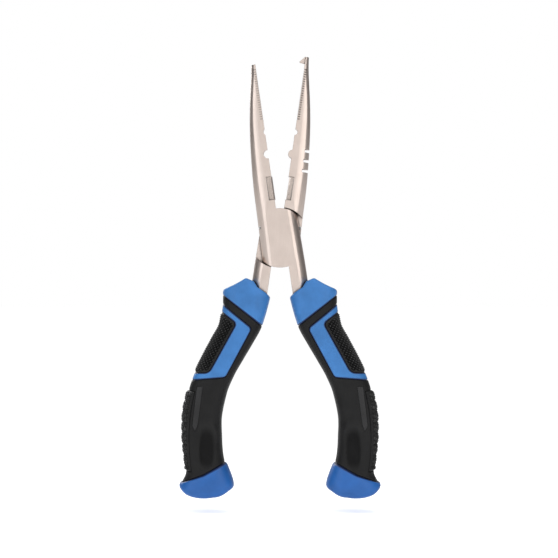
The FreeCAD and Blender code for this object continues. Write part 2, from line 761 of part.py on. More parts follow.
def grip_form(name, inset, names):
    """Rounded form of the handle through horizontal sections, smaller all round by the inset."""
    body = new_body(name)
    sketches = []
    for station in names:
        inner = DIM["grip_%s_inner" % station] + inset
        outer = DIM["grip_%s_outer" % station] - inset
        depth = DIM["grip_%s_depth" % station] - inset
        corner = DIM["grip_corner"] - inset
        sketch = new_sketch(body, "%s_%s" % (name, station), "XY_Plane", DIM["grip_%s_height" % station])
        draw_outline(sketch, [
            (inner + corner, -MID_DEPTH - depth),
            (outer - corner, -MID_DEPTH - depth, corner, 1),
            (outer, -MID_DEPTH - depth + corner),
            (outer, -MID_DEPTH + depth - corner, corner, 1),
            (outer - corner, -MID_DEPTH + depth),
            (inner + corner, -MID_DEPTH + depth, corner, 1),
            (inner, -MID_DEPTH + depth - corner),
            (inner, -MID_DEPTH - depth + corner, corner, 1),
        ])
        sketches.append(sketch)
    loft(body, sketches)
    return body


def region(name, corners, half_depth=BLOCK_HALF_DEPTH):
    """A block with a front view outline, deeper than the grip, that picks out one piece of it."""
    body = new_body(name)
    half = as_size(half_depth)
    sketch = new_sketch(body, name + "_outline", "XZ_Plane", MID_DEPTH - half)
    draw_outline(sketch, corners)
    pad(body, sketch, half * 2)
    return body


def combine(kind, name, first, second):
    """A boolean of two document objects."""
    result = doc.addObject(kind, name)
    result.Base = first
    result.Tool = second
    doc.recompute()
    return result


def common(name, first, second):
    return combine("Part::Common", name, first, second)


def cut(name, first, second):
    return combine("Part::Cut", name, first, second)


# Front view outlines of the grip's regions, right handle, jaws shut. Points past the handle's side
# only carry an edge out of it.
COLLAR_EDGE = [(-1, -43.3), (23, -29.55)]
CAP_EDGE = [(29.5, -116.8), (19.1, -111.4), (10.7, -105.1), (0, -97.1)]
COLLAR = [
    (-1, -28.8),
    (2.2, -26.3),
    (6.7, -24.3),
    (8.7, -22.0),
    (12.4, -21.1, 40, 1),
    (21.3, -26.9),
    (23, -28.3),
    COLLAR_EDGE[1],
    COLLAR_EDGE[0],
]
SLEEVE = [COLLAR_EDGE[0], COLLAR_EDGE[1], (40, -29.55), (40, -116.8)] + CAP_EDGE
CAP = [
    CAP_EDGE[3],
    CAP_EDGE[2],
    CAP_EDGE[1],
    CAP_EDGE[0],
    (28.7, -117.2, 5, -1),
    (24.5, -121.6, 22, -1),
    (13.1, -120.8),
    (6.9, -117.6, 3.5, -1),
    (4.6, -113.9),
    (0, -112.5),
]
INLAY_INSIDE = [
    (36, -67.5),
    (24.8, -65.7, 3.5, -1),
    (22.1, -63.4),
    (14.5, -43.4, 2.0, -1),
    (15.6, -40.9),
    (25, -35.7),
]
INLAY = [
    (25, -31.9),
    (8.2, -41.9, 2.2, 1),
    (6.9, -44.5),
    (14.5, -65.2, 2.6, 1),
    (16.4, -66.9),
    (36, -71.3),
] + INLAY_INSIDE
PALM = [(36, -35.7)] + INLAY_INSIDE
HEEL = [(40, -74.6), (40, -110.8), (24.2, -110.8, 90, 1), (27.9, -74.6)]
STRIP = [(24.6, -72.0), (27.4, -72.4), (26.9, -90.1), (25.3, -92.2), (24.5, -89.8)]


def make_grips():
    """Every piece of the right grip, drawn shut, as label and object."""
    stations = [station[0] for station in GRIP_STATIONS]
    rounded = grip_form("grip_form", as_size(0), stations)
    slab = doc.addObject("Part::Box", "flat_slab")
    slab.Length = BLOCK_SIDES[1] - BLOCK_SIDES[0]
    slab.Height = BLOCK_HEIGHT
    slab.Width = (DIM["grip_flat"] * 2).number
    slab.setExpression("Width", (DIM["grip_flat"] * 2).text)
    slab.Placement.Base = FreeCAD.Vector(BLOCK_SIDES[0], 0, -BLOCK_HEIGHT)
    slab.setExpression("Placement.Base.y", (-MID_DEPTH - DIM["grip_flat"]).text)
    form = common("grip_flat_form", rounded, slab)
    inner_form = grip_form("core_form", DIM["grip_skin"], stations)
    low = -DIM["core_bottom"]
    high = -DIM["core_top"]
    near, far = BLOCK_SIDES
    core_zone = region("core_zone", [(near, low), (far, low), (far, high), (near, high)])
    core_blank = common("core_blank", inner_form, core_zone)

    near = DIM["socket_inner"]
    far = DIM["socket_outer"]
    floor = -DIM["tang_floor"] - DIM["floor_clearance"]
    mouth = -DIM["socket_top"]
    square = [(near, floor), (far, floor), (far, mouth), (near, mouth)]
    socket = region("tang_socket", square, DIM["socket_half_depth"])
    blade_slot = new_body("blade_slot")
    lever_blade(blade_slot, -1, DIM["socket_clearance"])

    inlay_zone = region("inlay_zone", INLAY)
    palm_zone = region("palm_zone", PALM)
    heel_zone = region("heel_zone", HEEL)
    strip_zone = region("strip_zone", STRIP)

    collar = common("collar_form", form, region("collar_zone", COLLAR))
    collar = cut("collar_hollow", collar, core_blank)
    collar = cut("collar_socketed", collar, socket)
    collar = cut("collar", collar, blade_slot)
    inlay = common("inlay_form", form, inlay_zone)
    core = combine("Part::Fuse", "core_and_inlay", core_blank, inlay)
    core = cut("core", core, blade_slot)
    sleeve = common("sleeve_form", form, region("sleeve_zone", SLEEVE))
    for number, zone in enumerate((core_blank, inlay_zone, palm_zone, heel_zone, strip_zone)):
        sleeve = cut("sleeve_%d" % (number + 1), sleeve, zone)
    palm = cut("palm_pad", common("palm_form", form, palm_zone), core_blank)
    heel = cut("heel_pad", common("heel_form", form, heel_zone), core_blank)
    strip = cut("accent_strip", common("strip_form", form, strip_zone), core_blank)
    cap = cut("butt_cap", common("cap_form", form, region("cap_zone", CAP)), core_blank)
    return [
        ("collar", collar),
        ("grip_core", core),
        ("sleeve", sleeve),
        ("palm_pad", palm),
        ("heel_pad", heel),
        ("accent_strip", strip),
        ("butt_cap", cap),
    ]


def open_out(item, side):
    """Turns a piece drawn shut to its place on the open pliers: side -1 front lever, +1 rear lever."""
    angle = DIM["half_opening"] * side
    turn = FreeCAD.Rotation(FreeCAD.Vector(0, 1, 0), angle.number)
    item.Placement = FreeCAD.Placement(FreeCAD.Vector(), turn)
    item.setExpression("Placement.Rotation.Angle", angle.text)


def make_pieces():
    """All the sub-parts, each with its Label and Placement."""
    pieces = []
    for label, item, side in (
        ("front_lever", make_front_lever(), -1),
        ("rear_lever", make_rear_lever(), 1),
        ("front_cutter", make_cutter("front_cutter", -1), -1),
        ("rear_cutter", make_cutter("rear_cutter", 1), 1),
    ):
        open_out(item, side)
        pieces.append((label, item))
    pieces.append(("pivot_pin", make_pivot_pin()))
    pieces.append(("pivot_washer", make_pivot_washer()))
    pieces.append(("return_spring", make_return_spring()))
    for label, item in make_grips():
        open_out(item, -1)
        pieces.append(("right_" + label, item))
        other = doc.addObject("Part::Mirroring", "left_" + label)
        other.Source = item
        other.Normal = FreeCAD.Vector(1, 0, 0)
        pieces.append(("left_" + label, other))
    for label, item in pieces:
        item.Label = label
    return pieces


def check_document(pieces):
    """Stops the build if anything failed to compute or a sub-part has no sound solid."""
    for item in doc.Objects:
        if "Invalid" in item.State or "Error" in item.State:
            raise RuntimeError("%s did not compute: %s" % (item.Label, item.State))
    for label, item in pieces:
        if item.Shape.isNull() or not item.Shape.isValid() or not item.Shape.Solids:
            raise RuntimeError("%s has no sound solid" % label)


def write_parts(pieces):
    os.makedirs("parts", exist_ok=True)
    for label, item in pieces:
        item.Shape.exportStep("parts/%s.step" % label)


all_pieces = make_pieces()
doc.recompute()
check_document(all_pieces)
write_parts(all_pieces)
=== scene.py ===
import json
import math

import bpy
import numpy as np
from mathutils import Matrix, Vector, geometry


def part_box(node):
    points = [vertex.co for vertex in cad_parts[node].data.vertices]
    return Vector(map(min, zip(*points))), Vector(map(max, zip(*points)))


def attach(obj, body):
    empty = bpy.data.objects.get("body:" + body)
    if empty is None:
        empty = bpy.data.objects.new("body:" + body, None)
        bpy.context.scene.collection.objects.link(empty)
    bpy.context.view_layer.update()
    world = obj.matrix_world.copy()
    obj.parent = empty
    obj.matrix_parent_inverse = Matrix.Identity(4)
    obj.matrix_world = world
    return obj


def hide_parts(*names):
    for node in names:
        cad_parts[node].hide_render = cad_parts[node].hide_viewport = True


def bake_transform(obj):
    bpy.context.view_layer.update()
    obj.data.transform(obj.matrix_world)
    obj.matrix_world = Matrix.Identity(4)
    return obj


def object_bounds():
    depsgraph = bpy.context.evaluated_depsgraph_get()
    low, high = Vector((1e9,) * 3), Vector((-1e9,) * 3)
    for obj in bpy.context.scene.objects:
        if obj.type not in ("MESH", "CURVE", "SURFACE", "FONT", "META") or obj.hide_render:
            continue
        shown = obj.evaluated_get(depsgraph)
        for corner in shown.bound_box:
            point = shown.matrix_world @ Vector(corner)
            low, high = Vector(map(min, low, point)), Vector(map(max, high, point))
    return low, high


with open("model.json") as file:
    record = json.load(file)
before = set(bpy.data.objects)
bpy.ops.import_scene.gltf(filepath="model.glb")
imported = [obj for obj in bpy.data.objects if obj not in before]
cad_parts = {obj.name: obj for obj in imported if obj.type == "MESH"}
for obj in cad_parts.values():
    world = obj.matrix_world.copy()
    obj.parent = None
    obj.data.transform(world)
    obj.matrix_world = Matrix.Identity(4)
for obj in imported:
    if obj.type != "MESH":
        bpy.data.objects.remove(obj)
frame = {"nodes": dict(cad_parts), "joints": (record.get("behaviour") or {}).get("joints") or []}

cad_low, cad_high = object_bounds()

# Lengths are millimetres until a mesh is made; Blender works in metres.
MM = 0.001

# ---- places taken from the frame --------------------------------------------------------------

PIVOT = frame["joints"][0]
HALF_OPENING = math.radians(PIVOT["range_deg"][1] / 2)
LEVER_LOW, LEVER_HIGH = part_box("front_lever")
MID_DEPTH = (LEVER_LOW.y + LEVER_HIGH.y) / 2 / MM


# ---- form of a grip ---------------------------------------------------------------------------
# A grip is drawn for the right handle with the jaws shut: u runs outwards from the shut plane,
# z up from the pivot. Its horizontal sections are rounded boxes between an inner and an outer side.

STATIONS = {
    # height: inner side, outer side, half depth
    -16.0: (-0.6, 25.5, 8.0),
    -22.0: (0.0, 23.6, 8.3),
    -29.0: (0.5, 21.9, 8.5),
    -36.0: (1.3, 21.1, 8.4),
    -42.5: (2.5, 21.3, 8.3),
    -50.0: (5.3, 23.8, 8.1),
    -58.0: (8.6, 26.7, 8.0),
    -66.0: (11.7, 29.2, 8.0),
    -74.0: (13.7, 30.8, 8.0),
    -84.0: (14.4, 31.6, 8.0),
    -94.0: (13.0, 30.6, 8.0),
    -102.0: (11.2, 28.9, 8.0),
    -108.0: (8.6, 27.4, 8.1),
    -112.0: (6.5, 26.9, 8.3),
    -116.0: (4.8, 28.0, 8.5),
    -120.0: (4.3, 28.7, 8.4),
    -126.0: (4.1, 29.0, 8.2),
}
# The section is a superellipse. Its unrolled girth is that of a middling section, of these half sizes.
SECTION_POWER = 3.2
HALF_WIDTH, HALF_DEPTH = 9.0, 8.1
SECTION_STEPS = 2000
NORMAL_STEP = 0.05


def smooth_curve(knots, values):
    """A function through the values that never overshoots between knots (monotone cubic)."""
    knots = np.array(knots, float)
    values = np.array(values, float)
    step = np.diff(knots)
    slope = np.diff(values) / step
    same_way = slope[:-1] * slope[1:] > 0
    near = np.where(same_way, slope[:-1], 1.0)
    far = np.where(same_way, slope[1:], 1.0)
    before, after = step[:-1], step[1:]
    blend = 3 * (before + after) / ((2 * after + before) / near + (after + 2 * before) / far)
    tangent = np.concatenate([[slope[0]], np.where(same_way, blend, 0.0), [slope[-1]]])

    def value(x):
        x = np.clip(np.asarray(x, float), knots[0], knots[-1])
        i = np.clip(np.searchsorted(knots, x) - 1, 0, len(step) - 1)
        t = (x - knots[i]) / step[i]
        held = values[i] * (1 + 2 * t) * (1 - t) ** 2 + values[i + 1] * t * t * (3 - 2 * t)
        bent = tangent[i] * t * (1 - t) ** 2 - tangent[i + 1] * t * t * (1 - t)
        return held + step[i] * bent

    return value


HEIGHTS = sorted(STATIONS)
inner_side, outer_side, half_depth = (
    smooth_curve(HEIGHTS, [STATIONS[z][column] for z in HEIGHTS]) for column in range(3)
)


def section_table():
    """Half a section by arc length from its outer end: share of the length, across, out, and the length."""
    angle = np.linspace(0, math.pi, SECTION_STEPS + 1)
    across = np.sign(np.cos(angle)) * np.abs(np.cos(angle)) ** (2 / SECTION_POWER)
    out = np.abs(np.sin(angle)) ** (2 / SECTION_POWER)
    length = np.hypot(np.diff(across) * HALF_WIDTH, np.diff(out) * HALF_DEPTH)
    total = np.concatenate([[0], np.cumsum(length)])
    return total / total[-1], across, out, total[-1]


SHARE, ACROSS, OUT, GIRTH = section_table()


def flat_to_grip(x, z):
    """A point of the unrolled grip, x being the girth from the outer side, as (u, depth, z).
    x below 0 or past the inner side goes round to the back."""
    share = np.abs(np.asarray(x, float)) / GIRTH
    beyond = share > 1
    share = np.where(beyond, 2 - share, share)
    back = (np.asarray(x) < 0) | beyond
    middle = (inner_side(z) + outer_side(z)) / 2
    half_width = (outer_side(z) - inner_side(z)) / 2
    u = middle + half_width * np.interp(share, SHARE, ACROSS)
    out = half_depth(z) * np.interp(share, SHARE, OUT)
    return np.stack([u, np.where(back, out, -out), np.asarray(z, float)], axis=-1)


def grip_to_flat(u, z):
    """The unrolled place, on the front, of a point (u, z) of the front view."""
    middle = (inner_side(z) + outer_side(z)) / 2
    half_width = (outer_side(z) - inner_side(z)) / 2
    across = np.clip((np.asarray(u, float) - middle) / half_width, -1, 1)
    return np.interp(-across, -ACROSS, SHARE) * GIRTH


def form_normal(x, z):
    """Outward unit normal of the plain grip form."""
    along = flat_to_grip(x + NORMAL_STEP, z) - flat_to_grip(x - NORMAL_STEP, z)
    up = flat_to_grip(x, z + NORMAL_STEP) - flat_to_grip(x, z - NORMAL_STEP)
    normal = np.cross(up, along)
    return normal / np.linalg.norm(normal, axis=-1, keepdims=True)


# ---- borders of the grip's pieces, in the front view ------------------------------------------

PATH_STEP = 0.45
HALVINGS = 40


def path(corners):
    """Points along corners (u, z), or (u, z, radius, side) where an arc leads to the next corner,
    bulging to the right (+1) or the left (-1) of the way."""
    points = []
    for first, last in zip(corners, corners[1:]):
        start = np.array(first[:2], float)
        end = np.array(last[:2], float)
        chord = np.linalg.norm(end - start)
        count = max(1, math.ceil(chord / PATH_STEP))
        share = np.arange(count) / count
        line = start + (end - start) * share[:, None]
        if len(first) > 2:
            radius, side = first[2:]
            right = np.array([end[1] - start[1], start[0] - end[0]]) / chord
            offset = (share - 0.5) * chord
            bulge = np.sqrt(radius ** 2 - offset ** 2) - math.sqrt(radius ** 2 - chord ** 2 / 4)
            line = line + right * side * bulge[:, None]
        points.extend(line)
    points.append(np.array(corners[-1][:2], float))
    return np.array(points)


def on_grip(point):
    """Whether a point of the front view is between the grip's sides."""
    return inner_side(point[1]) < point[0] < outer_side(point[1])


def unroll(points):
    """A border of the front view as points of the unrolled grip, cut where it leaves the sides."""
    keep = [on_grip(point) for point in points]
    first = keep.index(True)
    last = len(keep) - 1 - keep[::-1].index(True)
    kept = [np.array([float(grip_to_flat(*point)), point[1]]) for point in points[first:last + 1]]
    for near, far in ((first, first - 1), (last, last + 1)):
        if not 0 <= far < len(points):
            continue
        a, b = points[near], points[far]
        for _ in range(HALVINGS):
            middle = (a + b) / 2
            a, b = (middle, b) if on_grip(middle) else (a, middle)
        seam = 0.0 if a[0] > (inner_side(a[1]) + outer_side(a[1])) / 2 else GIRTH
        kept = [np.array([seam, a[1]])] + kept if near == first else kept + [np.array([seam, a[1]])]
    return np.array(kept)


COLLAR_TOP = [(-1.6, -29.2), (2.2, -26.3), (6.7, -24.3), (8.7, -22.0), (11.7, -21.2, 1.2, -1),
              (13.1, -21.4, 40, 1), (21.3, -26.9), (25.0, -29.9)]
COLLAR_EDGE = [(-1.0, -43.3), (23.0, -29.55)]
CAP_EDGE = [(29.5, -116.8), (19.1, -111.4), (10.7, -105.1), (0.0, -97.1)]
CAP_BOTTOM = [(31.6, -115.2), (29.5, -117.6, 6, -1), (24.8, -121.6, 22, -1), (13.0, -120.9, 12, -1),
              (6.1, -117.3, 5, -1), (4.0, -114.0), (2.0, -110.0)]
INLAY_OUTSIDE = [(25.0, -31.9), (8.2, -41.9, 2.2, 1), (6.9, -44.5), (14.5, -65.2, 2.6, 1), (16.4, -66.9),
                 (36.0, -71.3)]
INLAY_INSIDE = [(25.0, -35.7), (15.6, -40.9, 2.0, 1), (14.5, -43.4), (22.1, -63.4, 3.5, 1), (24.8, -65.7),
                (36.0, -67.5)]
HEEL_EDGE = [(40.0, -74.6), (27.9, -74.6, 90, -1), (24.2, -110.8), (40.0, -110.8)]
STRIP_EDGE = [(24.6, -72.0), (27.4, -72.4), (26.9, -90.1), (25.3, -92.2), (24.5, -89.8), (24.6, -72.0)]


# ---- sheets of triangles on the unrolled grip --------------------------------------------------

# Rows of points at these distances from each border carry its rounded edge.
RINGS = (0.08, 0.2, 0.38, 0.62)
RING_CLEARANCE = 0.9
GRID_CLEARANCE = 0.4
POINTS_AT_ONCE = 1500
TINY_AREA = 1e-7
MERGE_DISTANCE = 1e-7


def distance_to(points, line):
    """Least distance from each point to a line of points."""
    start, along = line[:-1], np.diff(line, axis=0)
    square = (along ** 2).sum(1)
    result = np.empty(len(points))
    for first in range(0, len(points), POINTS_AT_ONCE):
        offset = points[first:first + POINTS_AT_ONCE, None] - start
        share = np.clip((offset * along).sum(-1) / square, 0, 1)
        gap = np.linalg.norm(offset - share[..., None] * along, axis=-1)
        result[first:first + POINTS_AT_ONCE] = gap.min(1)
    return result


def inside(points, loops):
    """Whether each point is inside the loops, holes counting as outside."""
    odd = np.zeros(len(points), bool)
    x, y = points[:, 0], points[:, 1]
    for loop in loops:
        for (ax, ay), (bx, by) in zip(loop, np.roll(loop, -1, axis=0)):
            if ay == by:
                continue
            crosses = (ay > y) != (by > y)
            odd ^= crosses & (x < ax + (y - ay) * (bx - ax) / (by - ay))
    return odd


def seam_points(start, end, spacing):
    """Points between the ends of two borders along a seam, closer together near the borders."""
    gap = abs(end[1] - start[1])
    near = [ring for ring in RINGS if ring < gap / 3]
    last = near[-1] if near else 0.0
    count = max(1, round((gap - 2 * last) / spacing))
    places = near + list(last + (gap - 2 * last) * np.arange(1, count) / count)
    places += [gap - ring for ring in reversed(near)]
    return [start + (end - start) * place / gap for place in places]


def closed_loop(borders, spacing):
    """The borders joined along the seams, and where each border's points are in the loop."""
    points, spans = [], []
    for number, line in enumerate(borders):
        closed = len(borders) == 1 and np.allclose(line[0], line[-1])
        kept = list(line[:-1] if closed else line)
        spans.append(range(len(points), len(points) + len(kept)))
        points += kept
        if not closed:
            points += seam_points(line[-1], borders[(number + 1) % len(borders)][0], spacing)
    return np.array(points), spans


def ring_points(line, loops, borders):
    """Points beside a border, at each ring's distance on the inner side of the region."""
    along = np.gradient(line, axis=0)
    side = np.stack([-along[:, 1], along[:, 0]], axis=1) / np.linalg.norm(along, axis=1, keepdims=True)
    found = []
    for ring in RINGS:
        for sign in (1, -1):
            points = line + side * ring * sign
            points = points[(points[:, 0] > ring / 2) & (points[:, 0] < GIRTH - ring / 2)]
            points = points[inside(points, loops)]
            gap = np.min([distance_to(points, border) for border in borders], axis=0)
            found.append(points[gap > ring * RING_CLEARANCE])
    return np.concatenate(found)


def sheet(outline, holes, spacing):
    """A region of the unrolled front half as points, triangles and the spans of its borders."""
    loop, spans = closed_loop(outline, spacing)
    loops = [loop] + [closed_loop([hole], spacing)[0] for hole in holes]
    borders = list(outline) + list(holes)
    low, high = loop.min(0), loop.max(0)
    first, last = np.floor(low / spacing), np.ceil(high / spacing)
    columns, rows = np.arange(first[0], last[0] + 1), np.arange(first[1], last[1] + 1)
    grid = np.stack(np.meshgrid(columns, rows), axis=-1).reshape(-1, 2) * spacing
    clear = spacing * GRID_CLEARANCE
    grid = grid[(grid[:, 0] > clear) & (grid[:, 0] < GIRTH - clear)]
    grid = grid[inside(grid, loops)]
    gap = np.min([distance_to(grid, border) for border in borders], axis=0)
    grid = grid[gap > RINGS[-1] + clear]
    rings = [ring_points(border, loops, borders) for border in borders]
    points = np.concatenate(loops + rings + [grid])
    edges = []
    base = 0
    for part in loops:
        edges += [(base + n, base + (n + 1) % len(part)) for n in range(len(part))]
        base += len(part)
    made = geometry.delaunay_2d_cdt([Vector(p) for p in points], edges, [], 0, MERGE_DISTANCE)
    if len(made[0]) != len(points):
        raise RuntimeError("the sheet's borders cross")
    faces = np.array(made[2])
    a, b, c = (points[faces[:, corner]] for corner in range(3))
    area = np.cross(b - a, c - a)
    kept = inside((a + b + c) / 3, loops) & (np.abs(area) > TINY_AREA)
    faces, area = faces[kept], area[kept]
    flip = area > 0
    faces[flip] = faces[flip][:, ::-1]
    return points, faces, spans


# ---- shells and solids from a sheet -----------------------------------------------------------

SEAM_TOLERANCE = 1e-6
SHELL_THICKNESS = 1.6
WALL_ROWS = 8


def rounding(distance, radius):
    """How far a rounded edge falls, at a distance from its border."""
    inward = np.clip(radius - distance, 0, radius)
    return radius - np.sqrt(radius ** 2 - inward ** 2)


def on_seam(points):
    """Which points of the unrolled front half are on its outer or inner seam."""
    return (points[:, 0] < SEAM_TOLERANCE) | (points[:, 0] > GIRTH - SEAM_TOLERANCE)


def both_halves(points, faces):
    """The back half's number for each point, which points have a copy there, and all the faces."""
    back_only = ~on_seam(points)
    back = np.arange(len(points))
    back[back_only] = len(points) + np.arange(back_only.sum())
    return back, back_only, np.concatenate([faces, back[faces][:, ::-1]])


def mirror_depth(points):
    """Places on the front half carried to the back half."""
    return points * (1, -1, 1)


def surface(points, relief, back_only):
    """Both halves of the displaced surface, of the plain form and of its unit normals."""
    place = flat_to_grip(points[:, 0], points[:, 1])
    normal = form_normal(points[:, 0], points[:, 1])
    normal[on_seam(points), 1] = 0
    normal /= np.linalg.norm(normal, axis=1, keepdims=True)
    moved = place + normal * relief[:, None]
    moved = np.concatenate([moved, mirror_depth(moved[back_only])])
    plain = np.concatenate([place, mirror_depth(place[back_only])])
    normal = np.concatenate([normal, mirror_depth(normal[back_only])])
    return moved, plain, normal


def open_edges(faces):
    """Edges used by one face only, in that face's direction."""
    edges = np.concatenate([faces[:, [0, 1]], faces[:, [1, 2]], faces[:, [2, 0]]])
    taken = set(map(tuple, edges))
    return [edge for edge in map(tuple, edges) if (edge[1], edge[0]) not in taken]


def shell(points, faces, relief):
    """A closed shell: the displaced surface, an inner copy and a skirt between them."""
    _, back_only, both = both_halves(points, faces)
    outer, plain, normal = surface(points, relief, back_only)
    count = len(outer)
    inner = plain - normal * SHELL_THICKNESS
    skirt = [(a, a + count, b + count, b) for a, b in open_edges(both)]
    polygons = [tuple(face) for face in both] + [tuple(face[::-1] + count) for face in both] + skirt
    return np.concatenate([outer, inner]), polygons


def solid(points, faces, relief, spans):
    """A closed solid: the displaced surface, and a ruled wall from front to back at each border's span."""
    back, back_only, both = both_halves(points, faces)
    outer, _, _ = surface(points, relief, back_only)
    places = list(outer)
    polygons = [tuple(face) for face in both]
    for span in spans:
        columns = []
        for number in span:
            front, rear = number, back[number]
            if front == rear:
                columns.append([front] * (WALL_ROWS + 1))
                continue
            column = [front]
            for row in range(1, WALL_ROWS):
                column.append(len(places))
                places.append(outer[front] + (outer[rear] - outer[front]) * row / WALL_ROWS)
            columns.append(column + [rear])
        for one, two in zip(columns, columns[1:]):
            for row in range(WALL_ROWS):
                corners = [two[row], one[row], one[row + 1], two[row + 1]]
                polygons.append(tuple(dict.fromkeys(corners)))
    return np.array(places), polygons


# ---- objects ----------------------------------------------------------------------------------

SHARP_ANGLE = math.radians(40)


def add_mesh(name, places, polygons, material, marks=None):
    """A smooth-shaded object from places in metres. marks are values, by name, of its first points; the
    rest, on walls and inner sides, take the greatest."""
    mesh = bpy.data.meshes.new(name)
    corners = [tuple(int(number) for number in polygon) for polygon in polygons]
    mesh.from_pydata([tuple(place) for place in places], [], corners)
    for mark, values in (marks or {}).items():
        filled = np.full(len(places), values.max(), np.float32)
        filled[:len(values)] = values
        mesh.attributes.new(mark, "FLOAT", "POINT").data.foreach_set("value", filled)
    mesh.shade_smooth()
    mesh.set_sharp_from_angle(angle=SHARP_ANGLE)
    mesh.materials.append(material)
    item = bpy.data.objects.new(name, mesh)
    bpy.context.scene.collection.objects.link(item)
    return item


def open_out(places, side):
    """Shut right-handle places (u, depth, z) in millimetres to the open pliers' frame in metres.
    side is +1 for the right handle, -1 for the left."""
    u, depth, z = places.T
    x = u * math.cos(HALF_OPENING) - z * math.sin(HALF_OPENING)
    height = z * math.cos(HALF_OPENING) + u * math.sin(HALF_OPENING)
    return np.stack([x * side, depth + MID_DEPTH, height], axis=1) * MM


# ---- relief of each piece ---------------------------------------------------------------------
# Each function takes the unrolled x, the height z and the distance to the nearest border, and
# returns how far the surface stands out from the plain form.

KNURL_PITCH = 1.7
PALM_POINT, PALM_SINK = 0.9, 0.3
PALM_KNURL_END = (11.2, 12.6)
PALM_BORDER = (0.5, 1.3)

TREAD_HEIGHT, TREAD_SINK = 0.55, 0.25
TREAD_EDGE = (0.0, 0.6)
TREAD_POINT = 0.7
TREAD_PITCH = KNURL_PITCH * 1.15
TREAD_WAVE, TREAD_WAVE_TURN = 0.8, 0.9
RIB_HEIGHT, RIB_MIDDLE = 0.6, 0.6
RIB_PITCH, RIB_START = 4.8, -74.8
RIB_END = (5.0, 10.0)
TREAD_BORDER = (0.3, 1.2)

HOLLOW_MIDDLE = (18.95, -99.5)
HOLLOW_LENGTH, HOLLOW_WIDTH = 19.0, 7.2
HOLLOW_LEAN = 0.1
HOLLOW_POWER = 3
HOLLOW_DEPTH, HOLLOW_WALL = 1.2, (0.6, 1.05)
LIP_HEIGHT, LIP_RISE, LIP_FALL = 0.4, (0.9, 1.15), (1.15, 1.5)
LIP_FADE = (-8.5, -5.5)

CAP_STEP, CAP_STEP_SPAN = 0.75, (0.0, 1.0)
CAP_SWELL, CAP_SWELL_SPAN = 0.25, (1.0, 4.0)


def ramp(value, start, end):
    """Smooth step from 0 at start to 1 at end."""
    share = np.clip((value - start) / (end - start), 0, 1)
    return share * share * (3 - 2 * share)


def saw(value):
    """Triangle wave from -1 to 1 with a period of 1."""
    return np.abs(value % 1 - 0.5) * 4 - 1


def diamonds(x, z, pitch, height):
    """Raised four-sided points in rows."""
    first, second = saw((x + z) / pitch / 2), saw((x - z) / pitch / 2)
    return height * (1 - np.maximum(np.abs(first), np.abs(second)))


def no_relief(x, z, gap):
    """A plain surface."""
    return np.zeros(len(x))


def palm_relief(x, z, gap):
    """Diamond points round the outer side, fading out towards the front face."""
    share = (1 - ramp(x, *PALM_KNURL_END)) * ramp(gap, *PALM_BORDER)
    return (diamonds(x, z, KNURL_PITCH, PALM_POINT) - PALM_SINK) * share


def heel_relief(x, z, gap):
    """A raised tread: broad ribs across the outer side, with diamond points on them."""
    rise = TREAD_HEIGHT * ramp(gap, *TREAD_EDGE)
    swell = np.sqrt(np.abs(np.sin(math.pi * (z - RIB_START) / RIB_PITCH)))
    rib = RIB_HEIGHT * (swell - RIB_MIDDLE) * (1 - ramp(x, *RIB_END))
    points = diamonds(x, z + TREAD_WAVE * np.sin(x * TREAD_WAVE_TURN), TREAD_PITCH, TREAD_POINT)
    return rise + (rib + points) * ramp(gap, *TREAD_BORDER) - TREAD_SINK


def sleeve_relief(x, z, gap):
    """A shallow long hollow in the face for the little finger, under a soft raised lip."""
    below = HOLLOW_MIDDLE[1] - z
    beside = flat_to_grip(x, z)[:, 0] - HOLLOW_MIDDLE[0] + HOLLOW_LEAN * below
    across, along = np.abs(beside) * 2 / HOLLOW_WIDTH, np.abs(below) * 2 / HOLLOW_LENGTH
    reach = (across ** HOLLOW_POWER + along ** HOLLOW_POWER) ** (1 / HOLLOW_POWER)
    lip = ramp(reach, *LIP_RISE) * (1 - ramp(reach, *LIP_FALL)) * (1 - ramp(below, *LIP_FADE))
    return LIP_HEIGHT * lip - HOLLOW_DEPTH * (1 - ramp(reach, *HOLLOW_WALL))


def cap_relief(x, z, gap):
    """The cap steps out past the sleeve, and swells a little more away from its borders."""
    return CAP_STEP * ramp(gap, *CAP_STEP_SPAN) + CAP_SWELL * ramp(gap, *CAP_SWELL_SPAN)


# ---- materials --------------------------------------------------------------------------------
# Colours are linear. Radii, bump heights and the reach of the painted crevice shade are metres, since shaders
# use them so.

# The jaws' serrations are those of the CAD. The shade painted in their valleys fades over these shares
# of a pitch, and over these distances from the jaw's face.
SERRATION_START = 52.8
SERRATION_PITCH = 1.07
SERRATION_COUNT = 22
SERRATION_FOOT = (0.14, 0.32)
SERRATION_REACH = (1.1, 1.6)

EDGE_SAMPLES = 6
STEEL_EDGE_RADIUS, STEEL_EDGE_SPAN = 0.00028, (0.80, 0.985)
TURNED_EDGE_RADIUS, TURNED_EDGE_SPAN = 0.00015, (0.86, 0.995)
# Painted shade: the steel darkens in its crevices, by ambient occlusion within this reach.
CREVICE_REACH = 0.0014
CREVICE_SAMPLES = 8
CREVICE_SPAN = (0.42, 0.85)

# Noises, as features to a millimetre and detail.
BRUSH, BRUSH_STRETCH = (1.0, 4.0), (14.0, 14.0, 0.2)
STEEL_CLOUD = (0.12, 3.0)
STEEL_GRAIN = (9.0, 2.0)
TURNED_RINGS = (9.0, 3.0)
TURNED_SPOTS = (0.8, 4.0)
PLASTIC_FLOW = (0.09, 3.0)
PLASTIC_PATCHES = (0.7, 2.0)
FLOOR_CLOUD = (0.004, 2.0)

BRUSH_HEIGHT = 0.000008
GRAIN_HEIGHT = 0.000003
RING_HEIGHT = 0.00001
SPARK_HEIGHT = 0.00003
FLOW_HEIGHT = 0.0002

# Distances from a groove over which its painted shade fades out.
GROOVE_SHADE_SPAN = (0.42, 0.78)
DULL, HANDLED = 0.42, 1.5

